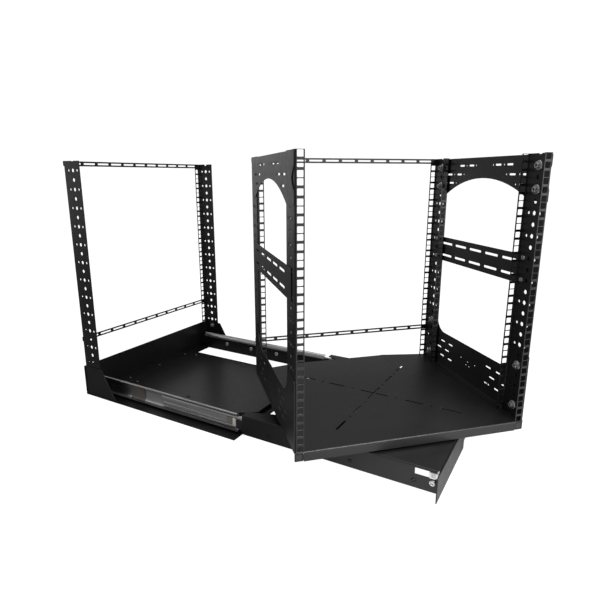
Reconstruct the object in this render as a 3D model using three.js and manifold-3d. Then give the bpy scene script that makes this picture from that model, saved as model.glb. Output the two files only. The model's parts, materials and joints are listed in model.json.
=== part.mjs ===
// Pull-out, rotating twelve-unit equipment rack. Millimetres, +Z up, front towards -Y.
// The origin is on the underside of the base, at the centre of its footprint.
// The rack stands as it is serviced: slides fully out, frame turned on its turntable.
import * as THREE from 'three';
import { mergeVertices } from 'three/addons/utils/BufferGeometryUtils.js';
import Module from 'manifold-3d';

const wasm = await Module();
wasm.setup();

// ---- driving dimensions -------------------------------------------------------------

const GAP = 0.3;                        // left between faces that touch
const SHEET = 2;                        // steel sheet of frame and base
const PANEL_SHEET = 1.5;                // thinner sheet of side panels and ties

const UNIT = 44.45;                     // one rack unit
const UNITS = 12;
const GRID = UNIT * UNITS;
const UNIT_HOLES = [6.35, 22.225, 38.1];
const HOLE_COLUMN = 465.1 / 2;          // hole column from the centreline
const SQUARE = 11.1;                    // side of a rack hole
const RAIL_HALF = 242;                  // outside of the rack posts
const FLANGE = 17;                      // width of a drilled post flange
const POST_DEPTH = 62.7;
const FIXED_POST_DEPTH = 55.7;            // the fixed posts have no front flange

const BASE_HALF = 246;                  // half width and half depth of the base
const WALL_X = 207;                     // inner face of a base rail's wall
const WALL_HEIGHT = 39.5;
const FLOOR_PLATE_HALF = 150;
const FLOOR_PLATE_FRONT = -225.5;
const REAR_WALL_HEIGHT = 80;
const REAR_FACE = 243.8;                // rear face of the fixed posts
const FIXED_GRID_TOP = 603.5;
const LOWER_BAR_DROP = 450.3;           // lower cross bars, below the top of the hole grid
const BAR_HEIGHT = 12;

const SLIDE_X = WALL_X + SHEET + GAP;   // back of the slides
const SLIDE_LENGTH = 457;
const SLIDE_FRONT = -235.5;             // front end of the fixed slide channel
const SLIDE_MID_Z = 28.5;
const SLIDE_TRAVEL = SLIDE_LENGTH;      // how far the carriage stands out here

const TRAY_HALF = 224.3;
const TRAY_BOTTOM = 7;
const TRAY_TOP = 53.3;
const TRAY_REAR = -252.5;
const TRAY_FRONT = -691.2;
const PANEL_HALF = 244.5;
const PANEL_TOP = 52.5;

const PIVOT_Y = -465.1;                 // swivel axis when the slides are out
const SWIVEL = THREE.MathUtils.degToRad(-45.3);
const LOCK_ANGLES = [-60, -45, -30, 0, 30, 45, 60];
const LOCK_RADIUS = 152.5;
const RACE_RADIUS = 125;
const PIVOT_R = 8;

const FRAME_BACK_SET = 23.8;            // frame centre stands this far ahead of the pivot
const FRAME_HALF_DEPTH = 205.7;
const DECK_TOP = 77.1;
const DECK_HALF = 244;
const DECK_REAR = 233;
const LIP_BOTTOM = 57.5;
const FRAME_TOP = DECK_TOP + GRID;
const PANEL_X = RAIL_HALF + GAP;        // inner face of the side panels

// ---- materials ----------------------------------------------------------------------

const paint = (color, roughness, metalness) =>
  new THREE.MeshStandardMaterial({ color, roughness, metalness });
const blackPaint = () => paint(0x17181a, 0.55, 0.2);
const zinc = () => paint(0xb9bcc0, 0.35, 0.9);
const plastic = () => paint(0x101113, 0.7, 0);
const redPlastic = () => paint(0xc22036, 0.45, 0);

// ---- shape helpers ------------------------------------------------------------------

function toSolid(geometry) {
  const plain = geometry.clone();
  plain.deleteAttribute('normal');
  plain.deleteAttribute('uv');
  const merged = mergeVertices(plain, 1e-4);
  const count = merged.attributes.position.count;
  const index = merged.index ? merged.index.array : Array.from({ length: count }, (_, i) => i);
  return new wasm.Manifold(new wasm.Mesh({
    numProp: 3,
    vertProperties: new Float32Array(merged.attributes.position.array),
    triVerts: new Uint32Array(index),
  }));
}

function toGeometry(solid) {
  const mesh = solid.getMesh();
  const geometry = new THREE.BufferGeometry();
  geometry.setAttribute('position', new THREE.BufferAttribute(mesh.vertProperties, 3));
  geometry.setIndex(new THREE.BufferAttribute(mesh.triVerts, 1));
  geometry.computeVertexNormals();
  return geometry;
}

const join = (geometries) =>
  toGeometry(geometries.map(toSolid).reduce((sum, next) => sum.add(next)));

const cut = (geometry, tools) =>
  toGeometry(tools.map(toSolid).reduce((left, tool) => left.subtract(tool), toSolid(geometry)));

// A box from its two corners.
function block([x0, x1], [y0, y1], [z0, z1]) {
  const geometry = new THREE.BoxGeometry(x1 - x0, y1 - y0, z1 - z0);
  return geometry.translate((x0 + x1) / 2, (y0 + y1) / 2, (z0 + z1) / 2);
}

// A round bar along X, Y or Z from one end to the other.
function rod(axis, [a, b], [u, v], radius, sides = 24) {
  const geometry = new THREE.CylinderGeometry(radius, radius, b - a, sides);
  const middle = (a + b) / 2;
  if (axis === 'x') return geometry.rotateZ(Math.PI / 2).translate(middle, u, v);
  if (axis === 'y') return geometry.translate(u, middle, v);
  return geometry.rotateX(Math.PI / 2).translate(u, v, middle);
}

// A flat plate drawn in the XY plane, between two heights.
function slab(points, [z0, z1]) {
  const shape = new THREE.Shape(points.map(([x, y]) => new THREE.Vector2(x, y)));
  return new THREE.ExtrudeGeometry(shape, { depth: z1 - z0, bevelEnabled: false })
    .translate(0, 0, z0);
}

// A plate standing in the YZ plane, between two X positions.
function upright(points, [x0, x1]) {
  const shape = new THREE.Shape(points.map(([y, z]) => new THREE.Vector2(y, z)));
  return new THREE.ExtrudeGeometry(shape, { depth: x1 - x0, bevelEnabled: false })
    .rotateX(Math.PI / 2).rotateZ(Math.PI / 2).translate(x0, 0, 0);
}

// A section drawn in the XZ plane, run along Y.
function channel(points, [y0, y1]) {
  const shape = new THREE.Shape(points.map(([x, z]) => new THREE.Vector2(x, z)));
  return new THREE.ExtrudeGeometry(shape, { depth: y1 - y0, bevelEnabled: false })
    .rotateX(Math.PI / 2).translate(0, y1, 0);
}

// A turned piece from its half section of [radius, z] points.
function turned(points, segments = 36) {
  const profile = points.map(([r, z]) => new THREE.Vector2(r, z));
  return new THREE.LatheGeometry(profile, segments).rotateX(Math.PI / 2);
}

// Swaps left for right, with the faces turned back outwards.
function mirrored(geometry) {
  const copy = geometry.clone().scale(-1, 1, 1);
  const index = copy.index ? copy.index.array : null;
  const flipped = index ? Uint32Array.from(index)
    : Uint32Array.from({ length: copy.attributes.position.count }, (_, i) => i);
  for (let i = 0; i < flipped.length; i += 3) {
    [flipped[i + 1], flipped[i + 2]] = [flipped[i + 2], flipped[i + 1]];
  }
  copy.setIndex(new THREE.BufferAttribute(flipped, 1));
  return copy;
}

function addMesh(group, name, geometry, material) {
  const mesh = new THREE.Mesh(geometry, material);
  mesh.name = name;
  group.add(mesh);
}

// The geometry is for the right-hand side; the left-hand piece is its mirror image.
function addPair(group, name, geometry, material) {
  addMesh(group, `${name}_right`, geometry, material());
  addMesh(group, `${name}_left`, mirrored(geometry), material());
}

// ---- rack posts and cross bars ------------------------------------------------------

// Square holes of a flange whose middle plane is at y, below the top of the hole grid.
function rackHoles(y, gridTop) {
  const holes = [];
  for (let unit = 0; unit < UNITS; unit += 1) {
    for (const drop of UNIT_HOLES) {
      const z = gridTop - unit * UNIT - drop;
      holes.push(block([HOLE_COLUMN - SQUARE / 2, HOLE_COLUMN + SQUARE / 2],
        [y - SHEET, y + SHEET], [z - SQUARE / 2, z + SQUARE / 2]));
    }
  }
  return holes;
}

// A right-hand post: a web along Y with a drilled flange at each end named in flangesAt.
function post([y0, y1], [z0, z1], flangesAt, gridTop) {
  const inner = RAIL_HALF - FLANGE;
  const pieces = [block([RAIL_HALF - SHEET, RAIL_HALF], [y0, y1], [z0, z1])];
  const holes = [];
  if (flangesAt.includes('front')) {
    pieces.push(block([inner, RAIL_HALF], [y0, y0 + SHEET], [z0, z1]));
    holes.push(...rackHoles(y0 + SHEET / 2, gridTop));
  }
  if (flangesAt.includes('rear')) {
    pieces.push(block([inner, RAIL_HALF], [y1 - SHEET, y1], [z0, z1]));
    holes.push(...rackHoles(y1 - SHEET / 2, gridTop));
  }
  return cut(join(pieces), holes);
}

// A flat tie across the back of two posts, pierced by a row of long slots.
function crossBar(y, top) {
  const pitch = 42;
  const slotLength = 36;
  const slots = [];
  for (let i = -5; i <= 5; i += 1) {
    slots.push(block([i * pitch - slotLength / 2, i * pitch + slotLength / 2],
      [y - SHEET, y + 2 * SHEET], [top - BAR_HEIGHT + 3, top - 3]));
  }
  return cut(block([-RAIL_HALF, RAIL_HALF], [y, y + PANEL_SHEET], [top - BAR_HEIGHT, top]), slots);
}

// ---- fixed base ---------------------------------------------------------------------

function baseRail() {
  return channel([
    [WALL_X, 0], [BASE_HALF, 0], [BASE_HALF, SHEET], [WALL_X + SHEET, SHEET],
    [WALL_X + SHEET, WALL_HEIGHT], [WALL_X, WALL_HEIGHT],
  ], [-BASE_HALF, REAR_FACE]);
}

// The plate has cut front corners, and a low lip turned up along its front.
function floorPlate() {
  const rear = 203.6;
  const lip = 10;
  const [across, along] = [29, 42];
  const half = FLOOR_PLATE_HALF;
  const front = FLOOR_PLATE_FRONT;
  const cornerX = half - across;
  const cornerY = front + along;
  const blank = slab([
    [-half, rear], [-half, cornerY], [-cornerX, front], [cornerX, front], [half, cornerY],
    [half, rear],
  ], [0, lip]);
  const shift = (SHEET * Math.hypot(across, along)) / across;
  const insideX = cornerX - ((shift - SHEET) * across) / along;
  const sideY = cornerY + shift + along / across;
  const hollow = slab([
    [-half - 1, rear + 1], [-half - 1, sideY], [-insideX, front + SHEET],
    [insideX, front + SHEET], [half + 1, sideY], [half + 1, rear + 1],
  ], [SHEET, lip + 1]);
  return cut(blank, [hollow]);
}

function frontTie() {
  const half = WALL_X - GAP;
  const y0 = -BASE_HALF;
  const y1 = FLOOR_PLATE_FRONT - GAP;
  return join([
    block([-half, half], [y0, y1], [0, SHEET]),
    block([-half, half], [y0, y0 + SHEET], [0, 5]),
  ]);
}

function rearWall() {
  const y = REAR_FACE + GAP;
  const half = WALL_X - GAP;
  return join([
    block([-BASE_HALF, BASE_HALF], [y, y + SHEET], [0, REAR_WALL_HEIGHT]),
    block([-half, half], [204, y + SHEET], [0, SHEET]),
  ]);
}

// Gusset outside the foot of a fixed post, with a foot on the rail's floor flange.
function cornerBracket() {
  const x = RAIL_HALF + GAP;
  const foot = SHEET + GAP;
  return join([
    upright([[REAR_FACE, foot], [REAR_FACE, REAR_WALL_HEIGHT], [181, REAR_WALL_HEIGHT],
      [136, foot]], [x, x + SHEET]),
    block([226, x + SHEET], [186, REAR_FACE], [foot, foot + SHEET]),
  ]);
}

function washerBolt([y, z]) {
  return join([
    rod('x', [RAIL_HALF - SHEET - GAP - 1.6, RAIL_HALF - SHEET - GAP], [y, z], 7.5),
    rod('x', [RAIL_HALF - SHEET - 6, RAIL_HALF - SHEET - GAP], [y, z], 4.6, 6),
  ]);
}

function addBase(group) {
  addPair(group, 'base_rail', baseRail(), blackPaint);
  addMesh(group, 'base_floor_plate', floorPlate(), blackPaint());
  addMesh(group, 'base_front_tie', frontTie(), blackPaint());
  addMesh(group, 'base_rear_wall', rearWall(), blackPaint());
  addPair(group, 'corner_bracket', cornerBracket(), blackPaint);
  const footTop = 2 * (SHEET + GAP);
  const column = REAR_FACE - POST_DEPTH / 2;
  addPair(group, 'fixed_post', post([REAR_FACE - FIXED_POST_DEPTH, REAR_FACE],
    [footTop, FIXED_GRID_TOP], ['rear'], FIXED_GRID_TOP), blackPaint);
  addPair(group, 'fixed_post_bolt', washerBolt([column, FIXED_GRID_TOP - GRID]), zinc);
  const behind = REAR_FACE + GAP;
  addMesh(group, 'fixed_cross_bar_top', crossBar(behind, FIXED_GRID_TOP), blackPaint());
  addMesh(group, 'fixed_cross_bar_lower',
    crossBar(behind, FIXED_GRID_TOP - LOWER_BAR_DROP + BAR_HEIGHT / 2), blackPaint());
}

// ---- telescopic slides --------------------------------------------------------------

// A C section that opens outwards or inwards: its back from x = back to back + wall,
// and its flanges reaching to x = tip, at half heights from inner to outer.
function cSection(back, wall, tip, outer, flange) {
  const far = back + wall;
  const inner = outer - flange;
  return [
    [back, -outer], [tip, -outer], [tip, -inner], [far, -inner],
    [far, inner], [tip, inner], [tip, outer], [back, outer],
  ].map(([x, z]) => [SLIDE_X + x, SLIDE_MID_Z + z]);
}

function addSlides(group) {
  const wall = 1.5;
  const cage = 0.8;
  const channelRun = [SLIDE_FRONT, SLIDE_FRONT + SLIDE_LENGTH];
  const middleRun = channelRun.map((y) => y - SLIDE_TRAVEL / 2);
  const innerLength = 404;
  const innerRear = SLIDE_FRONT + SLIDE_LENGTH - SLIDE_TRAVEL;
  const cageLength = 335;
  const cageSetBack = 10;
  const outerCageFront = SLIDE_FRONT + cageSetBack;
  const innerCageFront = middleRun[0] + cageSetBack;
  addPair(group, 'slide_channel',
    channel(cSection(0, wall, 11.9, 22.5, wall), channelRun), zinc);
  addPair(group, 'slide_outer_cage', channel(cSection(2.3, cage, 9.5, 19.7, cage),
    [outerCageFront, outerCageFront + cageLength]), zinc);
  addPair(group, 'slide_middle', channel(cSection(4, wall, 11, 17.5, wall), middleRun), zinc);
  addPair(group, 'slide_inner_cage', channel(cSection(6.2, cage, 10.2, 15.2, cage),
    [innerCageFront, innerCageFront + cageLength]), zinc);
  const inner = cSection(12.7, -wall, 7.7, 13.5, wall).reverse();
  addPair(group, 'slide_inner', channel(inner, [innerRear - innerLength, innerRear]), zinc);
}

// ---- carriage -----------------------------------------------------------------------

// Inverted tray over the slides: a top with a wide notch at the back, and two sides
// that each have a slot for the latch.
function carriageTray() {
  const inside = TRAY_HALF - SHEET;
  const under = TRAY_TOP - SHEET;
  const notch = slab([
    [-205, TRAY_REAR + 1], [-180, -326], [180, -326], [205, TRAY_REAR + 1],
  ], [under - 1, TRAY_TOP + 1]);
  const body = join([
    block([-TRAY_HALF, TRAY_HALF], [TRAY_FRONT, TRAY_REAR], [under, TRAY_TOP]),
    block([inside, TRAY_HALF], [TRAY_FRONT, TRAY_REAR], [TRAY_BOTTOM, TRAY_TOP]),
    block([-TRAY_HALF, -inside], [TRAY_FRONT, TRAY_REAR], [TRAY_BOTTOM, TRAY_TOP]),
    block([-inside, inside], [TRAY_FRONT, TRAY_FRONT + SHEET], [42, TRAY_TOP]),
  ]);
  const slot = block([-TRAY_HALF - 1, TRAY_HALF + 1], [-686, -645.5], [35.5, 48.5]);
  const pivotHole = rod('z', [under - 1, TRAY_TOP + 1], [0, PIVOT_Y], PIVOT_R + 0.4);
  const pinHole = rod('z', [under - 1, TRAY_TOP + 1], [0, PIVOT_Y - LOCK_RADIUS], 4.5, 16);
  return cut(body, [notch, slot, pivotHole, pinHole]);
}

// Full-width front with a notch at the middle that gives a finger the release lever.
function frontPanel() {
  const y1 = TRAY_FRONT - GAP;
  const bottom = 0.8;
  return cut(block([-PANEL_HALF, PANEL_HALF], [y1 - SHEET, y1], [bottom, PANEL_TOP]),
    [block([-27, 27], [y1 - 2 * SHEET, y1 + SHEET], [bottom - 1, 38])]);
}

const raceRing = [RACE_RADIUS - 30, RACE_RADIUS];

function lowerRace() {
  const [r0, r1] = raceRing;
  const z = TRAY_TOP + GAP;
  const hole = PIVOT_R + 0.4;
  return turned([[hole, z], [r1, z], [r1, z + 7.4], [r0, z + 7.4], [r0, z + 4], [hole, z + 4],
    [hole, z]]);
}

// A hub under the upper race turns on the end of the pivot bolt.
function upperRace() {
  const [r0, r1] = raceRing;
  const z = DECK_TOP - SHEET - GAP;
  return turned([
    [0, z], [0, z - 1.5], [PIVOT_R + 0.4, z - 1.5], [PIVOT_R + 0.4, z - 9], [15, z - 9],
    [15, z - 4], [r0, z - 4], [r0, z - 7.4], [r1, z - 7.4], [r1, z], [0, z],
  ]);
}

function ballCage() {
  const [r0, r1] = raceRing;
  const z0 = TRAY_TOP + 8;
  const z1 = DECK_TOP - SHEET - 8;
  return turned([[r0 + 3, z0], [r1 - 3, z0], [r1 - 3, z1], [r0 + 3, z1], [r0 + 3, z0]]);
}

function pivotBolt() {
  const under = TRAY_TOP - SHEET - GAP;
  return join([
    rod('z', [under - 5, DECK_TOP - 4], [0, PIVOT_Y], PIVOT_R),
    rod('z', [under - 5, under], [0, PIVOT_Y], 13, 6),
  ]);
}

function pivotNut() {
  const z = TRAY_TOP + 4 + 2 * GAP;
  return cut(rod('z', [z, z + 6.5], [0, PIVOT_Y], 13, 6),
    [rod('z', [z - 1, z + 8], [0, PIVOT_Y], PIVOT_R + 0.3)]);
}

const LEVER_Y = -655;
const LEVER_Z = 28;
const LEVER_PIN_R = 3;

function releaseLever() {
  const pinY = PIVOT_Y - LOCK_RADIUS;
  return cut(join([
    block([-11, 11], [LEVER_Y - 32, pinY + 7], [LEVER_Z - 1, LEVER_Z + 2]),
    rod('x', [-11, 11], [LEVER_Y, LEVER_Z], 6),
    block([-19, 19], [LEVER_Y - 34, LEVER_Y - 31], [LEVER_Z - 24, LEVER_Z + 2]),
  ]), [rod('x', [-12, 12], [LEVER_Y, LEVER_Z], LEVER_PIN_R + GAP)]);
}

function leverBracket() {
  const top = TRAY_TOP - SHEET - GAP;
  return cut(join([
    block([-15, 15], [LEVER_Y - 8, LEVER_Y + 8], [top - SHEET, top]),
    block([13, 15], [LEVER_Y - 8, LEVER_Y + 8], [LEVER_Z - 7, top]),
    block([-15, -13], [LEVER_Y - 8, LEVER_Y + 8], [LEVER_Z - 7, top]),
  ]), [rod('x', [-16, 16], [LEVER_Y, LEVER_Z], LEVER_PIN_R + GAP)]);
}

function lockPin() {
  const top = DECK_TOP - SHEET - GAP - SHEET - 1.2;
  return rod('z', [LEVER_Z + 2 + GAP, top], [0, PIVOT_Y - LOCK_RADIUS], 4, 16);
}

function lockBush() {
  const top = TRAY_TOP - SHEET - GAP;
  return cut(rod('z', [top - 10, top], [0, PIVOT_Y - LOCK_RADIUS], 8.5),
    [rod('z', [top - 11, top + 1], [0, PIVOT_Y - LOCK_RADIUS], 4.3, 16)]);
}

// A block that slides in the tray's side slot, and a finger blade in front of it.
function slideLatch() {
  const face = TRAY_HALF + GAP;
  return join([
    block([TRAY_HALF - 3, face + 2], [-685.4, -673], [36, 48]),
    block([face, face + 2], [-691, -673], [39, 48]),
    block([face, face + 7], [-691, -688.5], [35, 56]),
  ]);
}

function panelScrew() {
  const face = TRAY_HALF + GAP;
  return cut(rod('x', [face, face + 3.6], [-679.6, 27.7], 6),
    [rod('x', [face + 1.5, face + 4], [-679.6, 27.7], 2.6, 6)]);
}

function addCarriage(group) {
  addMesh(group, 'carriage_tray', carriageTray(), blackPaint());
  addMesh(group, 'carriage_front_panel', frontPanel(), blackPaint());
  addMesh(group, 'pivot_bolt', pivotBolt(), zinc());
  addMesh(group, 'pivot_nut', pivotNut(), zinc());
  addMesh(group, 'release_lever', releaseLever(), redPlastic());
  addMesh(group, 'lever_bracket', leverBracket(), zinc());
  addMesh(group, 'lever_pin', rod('x', [-17, 17], [LEVER_Y, LEVER_Z], LEVER_PIN_R), zinc());
  addMesh(group, 'lock_pin', lockPin(), zinc());
  addMesh(group, 'lock_pin_bush', lockBush(), zinc());
  addPair(group, 'slide_latch', slideLatch(), zinc);
  addPair(group, 'panel_screw', panelScrew(), zinc);
  const table = new THREE.Group();
  table.position.set(0, PIVOT_Y, 0);
  addMesh(table, 'turntable_lower_race', lowerRace(), zinc());
  addMesh(table, 'turntable_ball_cage', ballCage(), zinc());
  group.add(table);
}

// ---- rotating frame, in its own axes: origin on the swivel axis -----------------------

// A slot of the deck on a diagonal through the frame's centre.
function diagonalSlot([r0, r1], angle, width) {
  return block([r0, r1], [-width / 2, width / 2], [DECK_TOP - 5, DECK_TOP + 5])
    .rotateZ(THREE.MathUtils.degToRad(angle));
}

// Plate with cut rear corners, a deep front lip and shallower side and rear lips.
function deck() {
  const front = -FRAME_HALF_DEPTH - GAP;
  const cornerX = 119;
  const cornerY = DECK_REAR - 24;
  const under = DECK_TOP - SHEET;
  const half = DECK_HALF;
  const lipHalf = RAIL_HALF - FLANGE + 1;
  const sideX = half - 6;
  const plate = slab([
    [-half, front], [half, front], [half, cornerY], [cornerX, DECK_REAR],
    [-cornerX, DECK_REAR], [-half, cornerY],
  ], [under, DECK_TOP]);
  const lips = [
    block([-lipHalf, lipHalf], [front, front + SHEET], [LIP_BOTTOM, DECK_TOP]),
    block([sideX - SHEET, sideX], [front + 20, cornerY - 20], [under - 8, DECK_TOP]),
    block([-sideX, SHEET - sideX], [front + 20, cornerY - 20], [under - 8, DECK_TOP]),
    block([-cornerX, cornerX], [DECK_REAR - SHEET, DECK_REAR], [under - 8, DECK_TOP]),
  ];
  const slots = [0, 90].map((turn) => diagonalSlot([-34, 34], 45 + turn, 4));
  for (const turn of [45, 135, 225, 315]) {
    slots.push(diagonalSlot([75, 117], turn, 4), diagonalSlot([155, 200], turn, 4));
    slots.push(diagonalSlot([51.5, 56.5], turn, 5), diagonalSlot([131.5, 136.5], turn, 5));
  }
  return cut(join([plate, ...lips]), slots);
}

// Blanks off the corner of the deck's front lip.
function lipCap() {
  const front = -FRAME_HALF_DEPTH - GAP;
  return block([RAIL_HALF - FLANGE + 1 + GAP, DECK_HALF - 0.5],
    [front + 0.4, front + SHEET], [LIP_BOTTOM + 1, DECK_TOP - SHEET - GAP]);
}

// Sector plate under the deck, with a hole for the lock pin at each resting angle.
function indexPlate() {
  const z1 = DECK_TOP - SHEET - GAP;
  const [r0, r1] = [LOCK_RADIUS - 12.5, LOCK_RADIUS + 12.5];
  const shape = new THREE.Shape();
  const from = THREE.MathUtils.degToRad(-90 - 68);
  const to = THREE.MathUtils.degToRad(-90 + 68);
  shape.absarc(0, 0, r1, from, to, false);
  shape.absarc(0, 0, r0, to, from, true);
  const plate = new THREE.ExtrudeGeometry(shape, {
    depth: SHEET, bevelEnabled: false, curveSegments: 30,
  }).translate(0, 0, z1 - SHEET);
  const holes = LOCK_ANGLES.map((turn) => {
    const angle = THREE.MathUtils.degToRad(-90 - turn);
    return rod('z', [z1 - 2 * SHEET, z1 + 1],
      [LOCK_RADIUS * Math.cos(angle), LOCK_RADIUS * Math.sin(angle)], 5.5, 16);
  });
  return cut(plate, holes);
}

// Slots in a side sheet: each row is its drop below the frame top and its slot starts.
function sideSlots(rows, length, height) {
  const tools = [];
  for (const [drop, starts] of rows) {
    const z = FRAME_TOP - drop;
    for (const start of starts) {
      for (const side of [1, -1]) {
        const ends = [side * start, side * (start + length)].sort((a, b) => a - b);
        tools.push(block([PANEL_X - 1, PANEL_X + 3], ends, [z - height / 2, z + height / 2]));
      }
    }
  }
  return tools;
}

// The arch is part of a circle of radius 300 whose crown is 46.8 below the frame top.
function topPanel() {
  const front = -204;
  const rear = 187;
  const top = FRAME_TOP - 1.5;
  const bottom = FRAME_TOP - 2 * UNIT;
  const radius = 300;
  const crown = FRAME_TOP - 46.8;
  const foot = Math.sqrt(radius ** 2 - (radius - crown + bottom) ** 2);
  const points = [[rear, bottom], [rear, top], [front, top]];
  const notchDeep = 14;
  for (let i = 0; i <= 8; i += 1) {
    const t = i / 8;
    points.push([front + notchDeep * Math.sin(Math.PI * t) ** 2, top - 20.5 - 46 * t]);
  }
  points.push([front, bottom]);
  const steps = 20;
  for (let i = 0; i <= steps; i += 1) {
    const y = -foot + (2 * foot * i) / steps;
    points.push([y, crown - radius + Math.sqrt(radius ** 2 - y ** 2)]);
  }
  return cut(upright(points, [PANEL_X, PANEL_X + PANEL_SHEET]),
    sideSlots([[18.8, [38, 75.5]], [38.6, [86, 127]], [58.5, [118]]], 23, 5.5));
}

function middleRail() {
  const z0 = FRAME_TOP - 254;
  const z1 = FRAME_TOP - 194;
  const pitch = 60.2;
  const centre = 7.9;
  const slots = [];
  for (let i = -2; i <= 2; i += 1) {
    for (const drop of [208.8, 239]) {
      const y = centre + i * pitch;
      const z = FRAME_TOP - drop;
      slots.push(block([PANEL_X - 1, PANEL_X + 3], [y - 26, y + 26], [z - 5, z + 5]));
    }
  }
  return cut(block([PANEL_X, PANEL_X + PANEL_SHEET], [centre - 192, centre + 181], [z0, z1]), slots);
}

// Low panel with raised corners, and a foot turned in over the deck between the posts.
function bottomPanel() {
  const low = DECK_TOP + GAP;
  const dip = FRAME_TOP - 441;
  const high = FRAME_TOP - 393;
  const corner = [];
  for (let i = 0; i <= 8; i += 1) {
    const angle = (Math.PI / 2) * (i / 8);
    corner.push([113 + 36 * Math.sin(angle), dip + 35 * (1 - Math.cos(angle))]);
  }
  const rearEdge = [[187, low], [187, high], [165, high]];
  const frontEdge = [[-165, high], [-204, high], [-204, low]];
  const points = [...rearEdge, ...corner.slice().reverse(),
    ...corner.map(([y, z]) => [-y, z]), ...frontEdge];
  const foot = block([PANEL_X - 15, PANEL_X + PANEL_SHEET], [-138, 138], [low, low + PANEL_SHEET]);
  return cut(join([upright(points, [PANEL_X, PANEL_X + PANEL_SHEET]), foot]),
    sideSlots([[464, [69, 106]], [484, [84.5, 121.5]], [503.7, [68.5, 105.5]]], 22, 5.5));
}

function addFrame(group) {
  const half = FRAME_HALF_DEPTH;
  const run = [DECK_TOP + GAP, FRAME_TOP];
  addMesh(group, 'deck', deck(), blackPaint());
  addPair(group, 'deck_lip_cap', lipCap(), plastic);
  addPair(group, 'post_front', post([-half, -half + POST_DEPTH], run,
    ['front', 'rear'], FRAME_TOP), blackPaint);
  addPair(group, 'post_rear', post([half - POST_DEPTH, half], run,
    ['front', 'rear'], FRAME_TOP), blackPaint);
  addPair(group, 'side_panel_top', topPanel(), blackPaint);
  addPair(group, 'side_rail_middle', middleRail(), blackPaint);
  addPair(group, 'side_panel_bottom', bottomPanel(), blackPaint);
  addMesh(group, 'frame_cross_bar_top', crossBar(half + GAP, FRAME_TOP), blackPaint());
  addMesh(group, 'frame_cross_bar_lower',
    crossBar(half + GAP, FRAME_TOP - LOWER_BAR_DROP + BAR_HEIGHT / 2), blackPaint());
}

// ---- assembly -----------------------------------------------------------------------

const rack = new THREE.Group();
addBase(rack);
addSlides(rack);
addCarriage(rack);

const swivel = new THREE.Group();
swivel.position.set(0, PIVOT_Y, 0);
swivel.rotation.z = SWIVEL;
addMesh(swivel, 'turntable_upper_race', upperRace(), zinc());
addMesh(swivel, 'index_plate', indexPlate(), zinc());
const frame = new THREE.Group();
frame.position.set(0, -FRAME_BACK_SET, 0);
addFrame(frame);
swivel.add(frame);
rack.add(swivel);

export default rack;
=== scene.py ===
# Looks of the pull-out rotating rack: powder-coated sheet steel on zinc-plated slides.
# Lengths in this script are millimetres until a mesh is finished.
import json
import math

import bmesh
import bpy
from mathutils import Matrix, Vector
from mathutils.geometry import delaunay_2d_cdt


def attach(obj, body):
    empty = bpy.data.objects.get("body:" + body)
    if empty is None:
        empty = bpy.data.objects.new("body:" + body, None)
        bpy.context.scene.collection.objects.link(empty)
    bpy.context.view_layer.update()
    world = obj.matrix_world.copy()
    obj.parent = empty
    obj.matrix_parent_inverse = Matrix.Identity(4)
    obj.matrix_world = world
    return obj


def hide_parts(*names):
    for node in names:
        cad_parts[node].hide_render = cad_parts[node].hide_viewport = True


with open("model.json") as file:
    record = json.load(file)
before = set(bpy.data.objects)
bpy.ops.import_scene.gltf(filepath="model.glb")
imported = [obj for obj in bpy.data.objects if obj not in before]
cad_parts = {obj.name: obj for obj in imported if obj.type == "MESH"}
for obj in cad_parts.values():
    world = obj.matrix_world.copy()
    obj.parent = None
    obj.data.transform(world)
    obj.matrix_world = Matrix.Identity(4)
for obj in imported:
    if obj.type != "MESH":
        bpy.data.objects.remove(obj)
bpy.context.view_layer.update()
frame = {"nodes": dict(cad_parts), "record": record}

MM = 0.001
UNIT = 44.45                            # one rack unit
UNITS = 12
UNIT_HOLES = (6.35, 22.225, 38.1)       # drops of a unit's holes below its top
SHEET = 2.0
THIN_SHEET = 1.5                        # side panels
BEND = 2.6                              # outer radius of a bend
BEND_STEPS = 6
QUARTER = BEND * math.pi / 2            # flat length that a square bend takes
SQUARE = 11.1                           # side of a rack hole
WEB_HOLE = 8.8                          # round holes down the middle of a post's web
WEB_PILOT = 5.9                         # smaller holes on both sides of them
PILOT_OFFSET = 14.95
MIN_CORNER = 0.3                        # keeps a moved line's sharp corners from running away
SMOOTH_BELOW = math.radians(16)


# ---- places, from the frame ----------------------------------------------------------

def node_box(node, space=Matrix.Identity(4)):
    """Lowest and highest corner of a CAD node, in millimetres, in the axes of space."""
    inverse = space.inverted()
    corners = [inverse @ (vertex.co / MM) for vertex in frame["nodes"][node].data.vertices]
    low = Vector([min(c[i] for c in corners) for i in range(3)])
    high = Vector([max(c[i] for c in corners) for i in range(3)])
    return low, high


def find_turned_axes():
    """Axes of the turned frame: x across, y to its rear, z up, from the middle of its posts."""
    left, right = MOUNTS["rack_face_left"], MOUNTS["rack_face_right"]
    across = right - left
    turn = Matrix.Rotation(math.atan2(across.y, across.x), 4, "Z")
    start = (left + right) / 2
    axes = Matrix.Translation((start.x, start.y, 0)) @ turn
    low, _ = node_box("post_front_left", axes)
    _, high = node_box("post_rear_left", axes)
    return axes @ Matrix.Translation((0, (low.y + high.y) / 2, 0))


MOUNTS = {mount["name"]: Vector(mount["pos_m"]) / MM for mount in frame["record"]["mounts"]}
WORLD = Matrix.Identity(4)
TURNED = find_turned_axes()
MIRROR = Matrix.Scale(-1, 4, (1, 0, 0))
SIDES = (("right", Matrix.Identity(4)), ("left", MIRROR))


def axes_at(origin, x_axis, z_axis):
    """Matrix of axes at origin, with y square to the given x and z."""
    x = Vector(x_axis).normalized()
    z = Vector(z_axis).normalized()
    y = z.cross(x)
    matrix = Matrix((x, y, z)).transposed().to_4x4()
    matrix.translation = origin
    return matrix


# ---- materials -----------------------------------------------------------------------

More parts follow.
